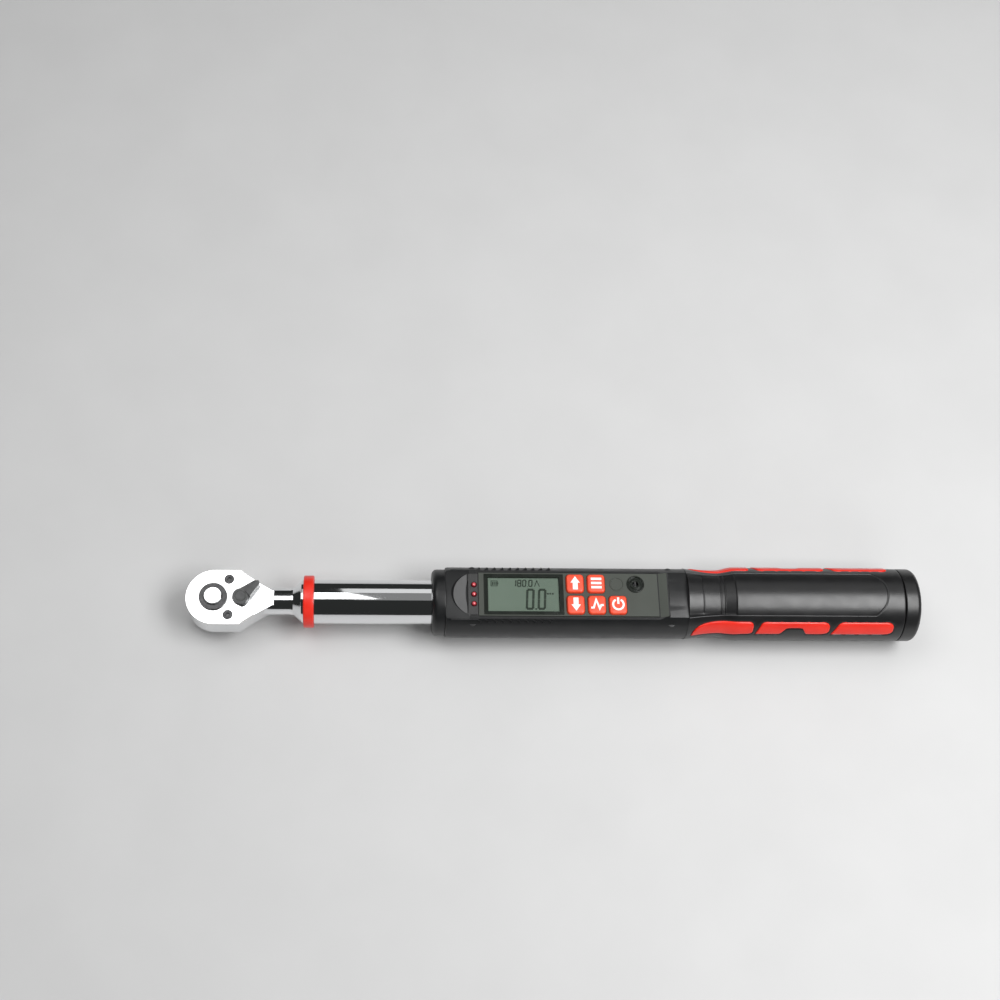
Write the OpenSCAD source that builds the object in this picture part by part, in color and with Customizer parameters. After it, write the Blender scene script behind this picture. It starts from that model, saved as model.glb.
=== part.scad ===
// Electronic torque wrench with a reversible ratchet head.
// +X runs from the head to the handle, +Z is the display side.
// The origin is the centre of the square drive at its shoulder face.
// Heights named *_z are measured from the wrench's own axis, which is axis_z above the origin.

/* [Drive] */
// Side of the square drive
drive_side = 12.7; // [12.6:0.05:12.7]
// Length of the square drive below its shoulder
drive_len = 15.5; // [14.5:0.5:16]
// Depth of the shoulder below the wrench's axis
shoulder_drop = 9.5; // [9.2:0.1:10]
// Diameter of the gear's two round journals
journal_d = 18.9; // [18.5:0.1:19]
// Height of the gear's boss above the cover plate
boss_proud = 1.5; // [0.5:0.1:2]
// Radius over the gear's teeth
gear_r = 11.5; // [11:0.1:11.5]
// Number of teeth on the gear
gear_teeth = 48; // [36:4:60]
// Height of a gear tooth
tooth_h = 0.6; // [0.4:0.1:0.8]
// Diameter of the quick-release button
release_d = 12.5; // [12:0.1:12.5]
// Height of the quick-release button above the boss
release_proud = 2; // [1.5:0.1:2.5]
// Travel of the quick-release button
release_travel = 3; // [2.5:0.1:3]
// Diameter of the detent ball
ball_d = 4.8; // [4.6:0.1:4.8]
// How far the detent ball stands out of the square
ball_proud = 1; // [0.8:0.1:1]

/* [Head] */
// Radius of the rounded front of the head
head_r = 19.2; // [19:0.1:20]
// Height of the head's underside
head_bottom_z = -8.2; // [-8.4:0.1:-8]
// Height of the flat top beside the lever
head_flat_z = 7.4; // [7:0.1:7.6]
// Height of the cover plate's top
cover_top_z = 8.8; // [8.6:0.1:9]
// Thickness of the cover plate
cover_t = 3; // [2.6:0.1:3.2]
// Thickness of the head's floor under the gear
head_floor_t = 3; // [2.5:0.1:3.2]
// Distance of the cover screws ahead of the lever's pivot
screw_back = 8.1; // [8:0.1:9]
// Distance of the cover screws from the centre plane
screw_y = 12.6; // [12.4:0.1:12.8]

/* [Reversing lever] */
// Distance of the lever's pivot from the drive axis
lever_x = 18.4; // [18.3:0.1:18.8]
// Radius of the lever's boss
lever_r = 5.5; // [5.2:0.1:5.6]
// Length of the lever from its pivot
lever_len = 16; // [14:0.5:17]
// Width of the lever's tip
lever_tip_w = 5.3; // [5:0.1:5.6]
// Angle of the lever either side of the wrench's axis
lever_a = 43.5; // [42:0.5:44]
// Angle of the cover plate's edges beside the lever
cover_edge_a = 31.5; // [31:0.5:32]
// Angle that the pawl turns either side of the wrench's axis
pawl_a = 8; // [6:0.5:8]

/* [Neck and tube] */
// Radius of the neck
neck_r = 9; // [8.6:0.1:9.4]
// Where the neck's flare starts
flare_x = 53.4; // [53:0.1:54]
// Where the colour ring starts
ring_x = 60.5; // [60:0.1:61]
// Width of the colour ring
ring_w = 7; // [6.5:0.1:7.5]
// Radius of the colour ring
ring_r = 17.75; // [17:0.05:18]
// Radius of the tube
tube_r = 15; // [15:0.1:15.5]
// Bore radius of the tube
tube_bore_r = 12.5; // [12.4:0.1:12.8]

/* [Housing] */
// Where the front collar starts
collar_x = 147.3; // [147:0.1:148]
// Width of the front collar
collar_w = 8.9; // [8.6:0.1:9.2]
// Radius of the front collar
collar_r = 22.5; // [22:0.1:23]
// Length of the housing
housing_len = 164.7; // [164.5:0.1:165]
// Radius of the housing
housing_r = 24; // [24:0.1:24.4]
// Wall thickness of the housing
wall = 2.2; // [2:0.1:2.4]
// Height of the housing's flat top
deck_z = 16.6; // [16.5:0.1:16.7]

/* [Panel] */
// Length of the faceplate
plate_len = 122.2; // [122:0.1:122.3]
// Half the width of the faceplate
plate_half = 15.3; // [15.2:0.1:15.4]
// Height of the faceplate's top
plate_z = 17.5; // [17.3:0.1:17.6]
// Length of the display's bezel
bezel_len = 54.1; // [54:0.1:54.2]
// Width of the display's bezel
bezel_w = 29; // [28.6:0.1:29.4]
// Length of the display's window
window_len = 48.6; // [48:0.1:49]
// Width of the display's window
window_w = 24.3; // [24:0.1:24.8]
// Length of a key along the wrench
key_len = 12.3; // [12:0.1:12.4]
// Width of a key across the wrench
key_w = 13.4; // [12.8:0.1:13.6]
// Height of a key above the faceplate
key_proud = 2.3; // [2:0.1:2.6]
// Travel of a key
key_travel = 0.8; // [0.6:0.1:0.8]
// Distance of the two key rows from the centre plane
key_y = 7.6; // [7.5:0.1:7.7]

/* [Handle] */
// Radius of the grip
grip_r = 25; // [24.7:0.1:25.2]
// Radius of the grip's waist
waist_r = 22.8; // [22.4:0.1:23.2]
// Where the battery cap starts
cap_x = 469.7; // [469:0.1:470]
// Where the wrench ends
end_x = 481.5; // [481:0.1:483]
// Radius of the plastic core under the grip
core_r = 21; // [20.5:0.1:21.5]
// Diameter of a battery
cell_d = 14.5; // [14:0.1:14.5]
// Length of a battery
cell_len = 50.5; // [50:0.1:50.5]

/* [Hidden] */

$fn = 96;
run_gap = 0.05;                       // radial clearance of a running fit
axis_z = shoulder_drop;               // height of the wrench's axis above the origin
far = 200;                            // a size that clears everything it cuts

// Heights and places in the head
shoulder_z = -shoulder_drop;
drive_tip_z = shoulder_z - drive_len;
journal_r = journal_d / 2;
cover_bottom_z = cover_top_z - cover_t;
cavity_z = head_bottom_z + head_floor_t;
gear_z0 = cavity_z + 0.3;
gear_z1 = cover_bottom_z - 0.3;
boss_z = cover_top_z + boss_proud;
cavity_r = gear_r + 0.3;
head_front_x = 0.9;
flank_x = 18;
corner = [20, 17.3];
plate_corner = [27.3, 12.3];
flat_end = [40.6, 4.5];
screw_x = lever_x - screw_back;

// Quick release
release_head_t = 4;
release_z = boss_z + release_proud;
release_bottom_z = release_z - release_head_t;
release_seat_z = release_bottom_z - 4.8;
rod_r = 2.25;
rod_neck_r = 1.1;
ball_z = shoulder_z - 8.5;
ball_r = ball_d / 2;
ball_y = drive_side / 2 + ball_proud - ball_r;

// Pawl, lever and selector
pawl_in_r = gear_r + 0.15;
pawl_out_r = 14.8;
pocket_r = 15.1;
pawl_half_a = 30;
hub_r = 3.1;
hub_journal_r = 2.6;
plunger_z = 0.8;
plunger_reach = 3.3;
lever_z0 = head_flat_z + 0.1;
lever_arm_z = 9.3;
lever_top_z = 11;

// Neck, tube and beam
spigot_end_x = 80;
neck_step_x = 51.8;
ring_seat_r = 14.2;
tube_x = ring_x + ring_w;
tube_end_x = 168.4;
beam_x0 = 66;
beam_x1 = 332;
beam_w = 12;
beam_h = 14;
gauge_x = 110;
gauge_waist = 9;
bush_x = 144;
wire_end_x = 188.4;
pin_r = 2.5;
pin_xs = [73, 324];
wire_r = 0.5;
lead_r = 0.8;
lead_at = [9.5, 5.5];                 // place of a battery lead across the wrench, and its height

// Housing
housing_x = collar_x + collar_w;
housing_end_x = housing_x + housing_len;
nose_z = 19.3;                        // top of the nose's crown
facet_x0 = housing_x + 5.2;
facet_x1 = housing_x + 16.1;
facet_z = 17.7;
facet_r = 15.3;
facet_bow = 2.5;                      // how far the facet's rear edge bows forward
facet_bow_r = 39.5;
deck_half = 16.5;                     // distance of the deck's rims from the centre plane
rim_w = 0.7;
rim_x0 = housing_x + 3.4;
rim_x1 = housing_x + 21.8;
nose_half = 17.6;                     // distance of the nose's rims from the centre plane
strip_half = 14.6;
strip_x0 = housing_x + 15.2;
strip_x1 = strip_x0 + 6.6;
strip_top_z = facet_z - 0.4;
strip_seat_z = deck_z - 0.8;
plate_x = 178.5;
plate_end_x = plate_x + plate_len;
bar_x0 = plate_end_x + 0.6;
bar_x1 = bar_x0 + 6.7;
saddle_z = 20;
saddle_r = 60;
deck_t = 2.2;
seat_z = deck_z - 0.6;
ridge_count = 10;
ridge_x = 178;
ridge_pitch = 5.3;
ridge_at = [18.1, 15.6];              // distance from the centre plane, and height
ridge_size = [4.2, 1.1, 1.4];
boss_x = [174.4, 309.4];
boss_y = 18;
boss_r = 2.9;

// Panel
bezel_x = plate_x + 3.5;
bezel_mid_x = bezel_x + bezel_len / 2;
bezel_z = plate_z + 0.4;
window_x = bezel_x + 2.7;
window_z = plate_z - 0.2;
led_x = 175.3;
led_r = 1.9;
led_ys = [-6.8, 0, 6.8];
key_xs = [244, 258.4, 272.7];
key_top_z = plate_z + key_proud;
key_flange_z = 13;
key_corner = 2.5;
plug_r = 4.9;
buzzer_x = 285.5;
buzzer_r = 6.05;
mat_x = 236.6;
mat_len = 45.2;
board_z = 10;
board_t = 1.2;
board_x0 = 172.4;
board_x1 = 299.8;
board_half = 15.5;
board_posts = [[180.6, 13.2], [180.6, -13.2], [296.8, 12], [296.8, -12]];
// Place, length and width of each part under the board
chips = [
    [206, 0, 12, 12], [228, 6, 8, 6], [228, -7, 6, 6], [251, 0, 9, 7], [189.4, 0, 5, 9], [284, 0, 6, 10]
];
chip_t = 2;

// Handle
grip_x0 = housing_end_x;
waist_x = 342;
grip_full_x = 356;
inlay_a0 = 48.3;
inlay_a1 = 74;
inlay_spans = [[324.2, 365.8], [367.6, 418.5], [420, 462.8]];
plug_x0 = 314.4;
plug_x1 = 340;
handle_end_x = 466;
sleeve_x0 = 345;
sleeve_x1 = 454;
cell_x = 348.8;
lead_x0 = 296.4;
cap_spigot_r = 12.3;
cap_spigot_x = 456;
seal_x = 462;
seal_wire_r = 0.75;

// ---------------------------------------------------------------- helpers

// Lifts what is drawn about the wrench's axis to its place above the origin
module on_axis() {
    translate([0, 0, axis_z]) children();
}

// Turns a profile of [radius, x] points around the wrench's axis
module turned(points) {
    rotate([0, 90, 0]) rotate_extrude() polygon(points);
}

// A round bar along the wrench's axis
module bar(r, x0, x1) {
    translate([x0, 0, 0]) rotate([0, 90, 0]) cylinder(r = r, h = x1 - x0);
}

// A box given by its lowest and highest corners
module block(low, high) {
    translate(low) cube(high - low);
}

// A flat-ended ring around the wrench's axis
module sleeve(outer_r, inner_r, x0, x1) {
    turned([[inner_r, x0], [outer_r, x0], [outer_r, x1], [inner_r, x1]]);
}

// A pin across the wrench
module pin(x, len) {
    translate([x, 0, 0]) rotate([90, 0, 0]) cylinder(r = pin_r, h = len, center = true);
}

// An upright cylinder at a point, between two heights
module post(p, r, z0, z1) {
    translate([p.x, p.y, z0]) cylinder(r = r, h = z1 - z0);
}

// A rectangle with round corners, about its own centre
module rounded_rect(len, w, r) {
    square([len - 2 * r, w], center = true);
    square([len, w - 2 * r], center = true);
    for (sx = [-1, 1], sy = [-1, 1]) {
        translate([sx * (len / 2 - r), sy * (w / 2 - r)]) circle(r = r, $fn = 48);
    }
}

// A screw that points down from its head's top at the origin
module screw(head_r, head_h, shank_r, len, key) {
    difference() {
        union() {
            translate([0, 0, -head_h]) cylinder(r = head_r, h = head_h);
            translate([0, 0, -len]) cylinder(r = shank_r, h = len);
        }
        translate([0, 0, -0.6 * head_h]) cylinder(d = key / cos(30), h = head_h, $fn = 6);
    }
}

// A coil of round wire that stands on z = 0
module coil(mean_r, wire_r, height, turns) {
    steps = round(turns * 16);
    sides = 8;
    rise = height - 2 * wire_r;
    points = [
        for (i = [0:steps]) let (a = 360 * turns * i / steps, h = wire_r + rise * i / steps)
            for (j = [0:sides - 1]) let (b = 360 * j / sides, r = mean_r + wire_r * cos(b))
                [r * cos(a), r * sin(a), h + wire_r * sin(b)]
    ];
    first = [for (j = [0:sides - 1]) j];
    last = [for (j = [sides - 1:-1:0]) steps * sides + j];
    skin = [
        for (i = [0:steps - 1]) for (j = [0:sides - 1]) let (k = (j + 1) % sides)
            [i * sides + j, (i + 1) * sides + j, (i + 1) * sides + k, i * sides + k]
    ];
    polyhedron(points = points, faces = concat([first, last], skin));
}

// ---------------------------------------------------------------- ratchet head

// The pear-shaped head between two heights: a round front, two flanks and a taper to the neck's flat
module head_block(z0, z1) {
    post([head_front_x, 0], head_r, z0, z1);
    translate([0, 0, z0]) linear_extrude(z1 - z0) polygon([
        [head_front_x, head_r], [flank_x, head_r], corner, plate_corner, flat_end,
        [flat_end.x, -flat_end.y], [plate_corner.x, -plate_corner.y],
        [corner.x, -corner.y], [flank_x, -head_r], [head_front_x, -head_r]
    ]);
}

// The notch behind the cover plate, where the lever swings between two straight edges
module lever_notch(r, z0, z1) {
    start = [lever_x - r * sin(cover_edge_a), r * cos(cover_edge_a)];
    end = start + far / 4 * [cos(cover_edge_a), sin(cover_edge_a)];
    post([lever_x, 0], r, z0, z1);
    translate([0, 0, z0]) linear_extrude(z1 - z0) {
        polygon([start, end, [end.x, -end.y], [start.x, -start.y]]);
    }
}

// A sector of a disc on the drive axis, about the +X direction
module sector(r, half_a) {
    intersection() {
        circle(r = r);
        polygon([
            [0, 0], 2 * r * [cos(half_a), -sin(half_a)], [2 * r, 0],
            2 * r * [cos(half_a), sin(half_a)]
        ]);
    }
}

module head_cavities() {
    // Gear cavity and its floor bore
    post([0, 0], cavity_r, cavity_z, far);
    post([0, 0], journal_r + run_gap, -far, far);
    // Pawl pocket
    translate([0, 0, cavity_z]) linear_extrude(far) sector(pocket_r, pawl_half_a + pawl_a + 3);
    // Selector bore, its clip recess and the plunger's window
    post([lever_x, 0], hub_r + 0.1, cavity_z, far);
    post([lever_x, 0], hub_journal_r + run_gap, -far, far);
    post([lever_x, 0], 4.2, -far, head_bottom_z + 1.4);
    post([lever_x, 0], 4.4, plunger_z - 1.7, plunger_z + 1.7);
    // Threaded holes for the cover screws
    for (s = [-1, 1]) {
        post([screw_x, s * screw_y], 1.95, -3, far);
    }
}

module ratchet_head() {
    color("gainsboro") on_axis() difference() {
        union() {
            head_block(head_bottom_z, head_flat_z);
            turned([
                [0, 26], [neck_r, 26], [neck_r, neck_step_x], [neck_r + 0.3, neck_step_x],
                [neck_r + 0.3, flare_x], [ring_seat_r - 0.8, ring_x - 2.2],
                [ring_seat_r, ring_x - 1.4], [ring_seat_r, ring_x],
                [tube_bore_r - 0.05, ring_x], [tube_bore_r - 0.05, spigot_end_x], [0, spigot_end_x]
            ]);
        }
        // Flat over the front of the neck
        block([-far, -far, head_flat_z], [flat_end.x, far, far]);
        // Rebate that holds the cover plate
        difference() {
            block([-far, -far, cover_bottom_z], [plate_corner.x + 4, far, far]);
            lever_notch(lever_r + 0.15, 0, far);
        }
        head_cavities();
        // Socket for the beam and the hole of its pin
        block([beam_x0, -beam_w / 2, -beam_h / 2], [far, beam_w / 2, beam_h / 2]);
        pin(pin_xs[0], far);
    }
}

module head_cover() {
    color("gainsboro") on_axis() difference() {
        head_block(cover_bottom_z, cover_top_z);
        lever_notch(lever_r + 0.2, 0, far);
        post([0, 0], journal_r + run_gap, -far, far);
        for (s = [-1, 1]) {
            post([screw_x, s * screw_y], 2.1, -far, far);
            post([screw_x, s * screw_y], 3.3, cover_bottom_z + 1, far);
        }
    }
}

module cover_screws() {
    color("dimgray") on_axis() for (s = [-1, 1]) {
        translate([screw_x, s * screw_y, cover_top_z + 0.1]) screw(3.2, 2.1, 1.9, 9, 2.5);
    }
}

// The toothed wheel's outline, one pointed tooth after another
module gear_outline() {
    polygon([
        for (i = [0:gear_teeth - 1]) for (k = [0, 1])
            let (a = (i + k / 2) * 360 / gear_teeth, r = gear_r - k * tooth_h)
                [r * cos(a), r * sin(a)]
    ]);
}

module drive_gear() {
    color("darkgray") on_axis() difference() {
        union() {
            translate([0, 0, gear_z0]) linear_extrude(gear_z1 - gear_z0) gear_outline();
            post([0, 0], journal_r, shoulder_z, boss_z);
            intersection() {
                block([-drive_side / 2, -drive_side / 2, drive_tip_z],
                      [drive_side / 2, drive_side / 2, shoulder_z]);
                post([0, 0], 8.4, drive_tip_z, shoulder_z);
            }
        }
        // Well of the release button and the bore of its rod
        post([0, 0], release_d / 2 + run_gap, release_seat_z, far);
        post([0, 0], rod_r + run_gap, drive_tip_z + 1, far);
        // Hole of the detent ball
        translate([0, 0, ball_z]) rotate([90, 0, 0]) cylinder(r = ball_r + run_gap, h = far);
    }
}

module release_button() {
    head = release_d / 2;
    top = release_z;
    color("whitesmoke") on_axis() rotate_extrude() polygon([
        [0, top], [head - 1.6, top], [head - 0.6, top - 0.3], [head, top - 1],
        [head, release_bottom_z], [rod_r, release_bottom_z], [rod_r, ball_z + 6.2],
        [rod_neck_r, ball_z + 5], [rod_neck_r, ball_z + 1.2], [rod_r, ball_z],
        [rod_r, ball_z - 2.2], [0, ball_z - 2.2]
    ]);
}

module release_spring() {
    color("silver") on_axis() translate([0, 0, release_seat_z]) {
        coil(4.4, 0.35, release_bottom_z - release_seat_z, 3.5);
    }
}

module detent_ball() {
    color("silver") on_axis() translate([0, -ball_y, ball_z]) sphere(r = ball_r);
}

module pawl() {
    tooth_a = 360 / gear_teeth;
    count = floor(2 * pawl_half_a / tooth_a);
    color("dimgray") on_axis() rotate([0, 0, -pawl_a]) translate([0, 0, gear_z0]) {
        linear_extrude(gear_z1 - gear_z0) difference() {
            sector(pawl_out_r, pawl_half_a);
            polygon(concat([[0, 0]], [
                for (i = [0:2 * count]) let (
                    a = (i - count) * tooth_a / 2,
                    r = pawl_in_r + (i % 2) * tooth_h
                ) [r * cos(a), r * sin(a)]
            ]));
            circle(r = pawl_in_r);
        }
    }
}

// Places what is drawn along +X from the selector's axis, pointing at the pawl's loaded end
module at_plunger() {
    translate([lever_x, 0, plunger_z]) rotate([0, 0, 180 + lever_a]) children();
}

module selector_shaft() {
    color("gray") on_axis() difference() {
        union() {
            post([lever_x, 0], hub_r, cavity_z + 0.1, lever_top_z + 0.4);
            post([lever_x, 0], hub_journal_r, head_bottom_z + 0.2, cavity_z + 0.2);
        }
        at_plunger() bar(1.4, -1.8, hub_r + 1);
        // Groove of the clip
        translate([lever_x, 0, head_bottom_z + 0.5]) difference() {
            cylinder(r = hub_journal_r + 1, h = 0.6);
            cylinder(r = 2.2, h = 0.6);
        }
    }
}

// The lever's outline: a round boss that tapers to a narrow round tip
module lever_outline() {
    tip_r = lever_tip_w / 2;
    tip_x = lever_len - tip_r;
    a = asin((lever_r - tip_r) / tip_x);
    circle(r = lever_r);
    translate([tip_x, 0]) circle(r = tip_r);
    polygon([
        lever_r * [sin(a), cos(a)], [tip_x + tip_r * sin(a), tip_r * cos(a)],
        [tip_x + tip_r * sin(a), -tip_r * cos(a)], lever_r * [sin(a), -cos(a)]
    ]);
}

module reverse_lever() {
    color("gray") on_axis() translate([lever_x, 0, 0]) rotate([0, 0, lever_a]) difference() {
        union() {
            translate([0, 0, lever_z0]) linear_extrude(lever_arm_z - lever_z0) lever_outline();
            post([0, 0], lever_r, lever_z0, lever_top_z);
            // Raised thumb pad along the handle side of the arm
            translate([0, 0, lever_z0]) linear_extrude(lever_top_z + 1 - lever_z0) intersection() {
                lever_outline();
                translate([4.5, -2 * lever_r]) square([far, 2 * lever_r + 0.3]);
            }
        }
        post([0, 0], hub_r, -far, far);
        // Slot between the arm and the pad
        block([6.5, 0.3, lever_arm_z - 0.9], [13.6, 1.1, far]);
    }
}

module pawl_plunger() {
    color("silver") on_axis() at_plunger() {
        bar(1.3, 0.6, plunger_reach - 1.3);
        translate([plunger_reach - 1.3, 0, 0]) sphere(r = 1.3);
    }
}

module pawl_spring() {
    color("silver") on_axis() at_plunger() translate([-1.8, 0, 0]) rotate([0, 90, 0]) {
        coil(0.95, 0.2, 2.4, 3);
    }
}

module lever_clip() {
    color("silver") on_axis() translate([lever_x, 0, head_bottom_z + 0.55]) difference() {
        cylinder(r = 3.9, h = 0.5);
        translate([0, 0, -1]) cylinder(r = 2.25, h = 2);
        translate([0, -1.5, -1]) cube([far, 3, 2]);
    }
}

// ---------------------------------------------------------------- beam and tube

module torque_beam() {
    color("silver") on_axis() difference() {
        block([beam_x0, -beam_w / 2, -beam_h / 2], [beam_x1, beam_w / 2, beam_h / 2]);
        // Waist that bends under load, where the gauges sit
        for (s = [-1, 1]) {
            translate([gauge_x, s * (gauge_waist + 10) / 2, 0]) cube([30, 10, far], center = true);
        }
        for (x = pin_xs) {
            pin(x, far);
        }
    }
}

module strain_gauges() {
    color("goldenrod") on_axis() for (s = [-1, 1], x = [-6, 6]) {
        translate([gauge_x + x, s * (gauge_waist / 2 + 0.15), 0]) cube([8, 0.3, 5], center = true);
    }
}

module gauge_wires() {
    color("firebrick") on_axis() for (i = [-1, 1], s = [-1, 1]) {
        translate([0, 2 * s + 0.7 * i, beam_h / 2 + wire_r]) bar(wire_r, gauge_x + 18, wire_end_x);
    }
}

module beam_pins() {
    color("silver") on_axis() for (x = pin_xs) {
        pin(x, 2 * tube_r - 1.2);
    }
}

module beam_bush() {
    color("dimgray") on_axis() difference() {
        bar(tube_bore_r, bush_x, bush_x + 10);
        block([0, -beam_w / 2, -beam_h / 2], [far, beam_w / 2, beam_h / 2]);
        block([0, -3.8, 0], [far, 3.8, beam_h / 2 + 1.6]);
    }
}

module colour_ring() {
    e = 0.7;
    color("tomato") on_axis() turned([
        [tube_bore_r - 0.05, ring_x], [ring_r - e, ring_x], [ring_r, ring_x + e],
        [ring_r, tube_x - e], [ring_r - e, tube_x], [tube_bore_r - 0.05, tube_x]
    ]);
}

module tube() {
    color("gainsboro") on_axis() difference() {
        turned([
            [tube_bore_r, tube_x], [tube_r - 0.4, tube_x], [tube_r, tube_x + 0.4],
            [tube_r, tube_end_x], [tube_bore_r, tube_end_x]
        ]);
        pin(pin_xs[0], far);
    }
}

module front_collar() {
    e = 1.8;
    color("#26282a") on_axis() turned([
        [tube_r, collar_x], [collar_r - e, collar_x], [collar_r - 0.5, collar_x + e / 2],
        [collar_r, collar_x + e + 0.4], [collar_r, housing_x], [tube_r, housing_x]
    ]);
}

// ---------------------------------------------------------------- housing

// The housing's outside: a round body with a crowned nose, a level facet, a flat deck and a saddle
module housing_outside() {
    difference() {
        turned([
            [0, housing_x], [housing_r - 0.9, housing_x], [housing_r - 0.25, housing_x + 0.5],
            [housing_r, housing_x + 1.4], [housing_r, housing_end_x], [0, housing_end_x]
        ]);
        // Deck and the sloped bar, in one cut across the top
        translate([0, far / 2, 0]) rotate([90, 0, 0]) linear_extrude(far) polygon([
            [facet_x1, far], [facet_x1, deck_z], [bar_x0, deck_z], [bar_x1, saddle_z - 0.9], [bar_x1, far]
        ]);
        // Shallow crown over the nose
        difference() {
            block([0, -far, 0], [facet_x1 + 0.01, far, far]);
            translate([0, 0, nose_z - saddle_r]) bar(saddle_r, 0, far * 2);
        }
        // Level facet with a round front edge
        intersection() {
            block([0, -far, facet_z], [facet_x1 + 0.01, far, far]);
            translate([facet_x0 + facet_r, 0, facet_z]) cylinder(r1 = facet_r, r2 = facet_r + 4, h = 4);
        }
        // Bowed gap between the facet and the light strip
        intersection() {
            block([facet_x1 - 2 * facet_bow, -strip_half, strip_seat_z],
                  [facet_x1 + 0.01, strip_half, far]);
            post([facet_x1 - facet_bow + facet_bow_r, 0], facet_bow_r, 0, far);
        }
        // Shallow crown between the bar and the handle
        difference() {
            block([bar_x1 - 0.01, -far, 0], [far * 2, far, far]);
            translate([0, 0, saddle_z - saddle_r]) bar(saddle_r, 0, far * 2);
        }
    }
}

// Everything that both halves of the housing leave empty
module housing_hollow() {
    difference() {
        bar(housing_r - wall, housing_x + 4, housing_end_x - 4);
        block([0, -far, deck_z - deck_t], [2 * far, far, far]);
    }
    bar(tube_r, 0, tube_end_x);
    bar(tube_r, plug_x0, 2 * far);
}

// Slanted ridges on the shoulders beside the display
module shoulder_ridges() {
    for (s = [-1, 1], i = [0:ridge_count - 1]) {
        translate([ridge_x + ridge_pitch * i, s * ridge_at[0], ridge_at[1]]) {
            rotate([-s * 49, 0, s * 35]) cube(ridge_size, center = true);
        }
    }
}

// Rims along both edges of the deck, running out over the shoulder beside the facet
module deck_rims() {
    for (s = [-1, 1]) {
        translate([0, s * deck_half, 0]) {
            block([facet_x1, -rim_w / 2, deck_z - 1], [bar_x0 + 1, rim_w / 2, deck_z + 0.5]);
        }
        translate([0, s * nose_half, 0]) {
            block([rim_x0, -rim_w / 2, deck_z - 2], [rim_x1, rim_w / 2, deck_z + 0.2]);
        }
    }
}

// The screw columns of one half, drawn between two heights
module housing_bosses(z0, z1, hole_r) {
    for (x = boss_x, s = [-1, 1]) {
        difference() {
            post([x, s * boss_y], boss_r, z0, z1);
            post([x, s * boss_y], hole_r, -far, far);
        }
    }
}

module key_holes(gap) {
    for (x = key_xs, s = [-1, 1]) {
        if (!(x == key_xs[2] && s == 1)) {
            translate([x, s * key_y]) rounded_rect(key_len + gap, key_w + gap, key_corner + gap / 2);
        }
    }
}

module panel_openings() {
    // Seat of the faceplate, in the deck
    block([plate_x, -plate_half - 0.1, seat_z], [plate_end_x + 0.1, plate_half + 0.1, far]);
    // Display, light strip, keys, plug and buzzer
    block([bezel_x, -bezel_w / 2, 0], [bezel_x + bezel_len, bezel_w / 2, far]);
    block([strip_x0, -strip_half, strip_seat_z], [strip_x1 + 0.1, strip_half, far]);
    for (y = led_ys) {
        post([led_x, y], led_r + 0.15, 0, far);
    }
    linear_extrude(far) key_holes(0.5);
    post([key_xs[2], key_y], plug_r, 0, far);
    post([buzzer_x, key_y], buzzer_r, 0, far);
}

module housing_upper() {
    color("#26282a") on_axis() difference() {
        union() {
            difference() {
                union() {
                    housing_outside();
                    shoulder_ridges();
                    deck_rims();
                }
                housing_hollow();
            }
            housing_bosses(0, deck_z - deck_t - 1, 1.4);
            for (p = board_posts) {
                difference() {
                    post(p, 2.2, board_z + board_t, deck_z - deck_t);
                    post(p, 0.95, 0, 13.6);
                }
            }
        }
        block([-far, -far, -far], [2 * far, far, 0]);
        panel_openings();
    }
}

module housing_lower() {
    color("#26282a") on_axis() difference() {
        union() {
            difference() {
                housing_outside();
                housing_hollow();
            }
            intersection() {
                housing_bosses(-far, 0, 1.55);
                housing_outside();
            }
        }
        block([-far, -far, 0], [2 * far, far, far]);
        for (x = boss_x, s = [-1, 1]) {
            post([x, s * boss_y], 2.6, -far, -7);
            post([x, s * boss_y], 1.55, -far, far);
        }
    }
}

module housing_screws() {
    color("silver") on_axis() for (x = boss_x, s = [-1, 1]) {
        translate([x, s * boss_y, -9.2]) mirror([0, 0, 1]) screw(2.5, 2.2, 1.4, 17, 2);
    }
}

// ---------------------------------------------------------------- panel

module faceplate() {
    color("#4a504a") on_axis() translate([0, 0, seat_z]) linear_extrude(plate_z - seat_z) difference() {
        translate([plate_x, -plate_half]) square([plate_len, 2 * plate_half]);
        translate([bezel_mid_x, 0]) square([bezel_len, bezel_w], center = true);
        key_holes(0.4);
        translate([key_xs[2], key_y]) circle(r = plug_r);
        translate([buzzer_x, key_y]) circle(r = buzzer_r);
    }
}

module display_bezel() {
    low = deck_z - deck_t;
    color("#2c302c") on_axis() difference() {
        block([bezel_x, -bezel_w / 2, low], [bezel_x + bezel_len, bezel_w / 2, bezel_z]);
        block([window_x, -window_w / 2, 0], [window_x + window_len, window_w / 2, far]);
    }
}

module display_window() {
    color("#9fb0a2") on_axis() block(
        [window_x, -window_w / 2, window_z - 0.8], [window_x + window_len, window_w / 2, window_z]);
}

module display_module() {
    e = 0.2;
    color("#707f72") on_axis() block(
        [window_x + e, -window_w / 2 + e, board_z + board_t + 2.4],
        [window_x + window_len - e, window_w / 2 - e, window_z - 0.85]);
}

module display_connector() {
    z = board_z + board_t;
    color("#c8a0a0") on_axis() for (s = [-1, 1]) {
        block([window_x + 3, s * 9 - 1.2, z], [window_x + window_len - 3, s * 9 + 1.2, z + 2.4]);
    }
}

module led_strip() {
    color("#4a4c4e") on_axis() difference() {
        block([strip_x0, -strip_half, strip_seat_z], [strip_x1, strip_half, strip_top_z]);
        for (y = led_ys) {
            post([led_x, y], led_r + 0.1, 0, far);
        }
    }
}

module leds() {
    z = board_z + board_t;
    color("firebrick") on_axis() for (y = led_ys) {
        post([led_x, y], led_r + 0.3, z, z + 1);
        post([led_x, y], led_r, z, strip_top_z - 0.5);
        translate([led_x, y, strip_top_z - 0.5]) sphere(r = led_r);
    }
}

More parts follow.
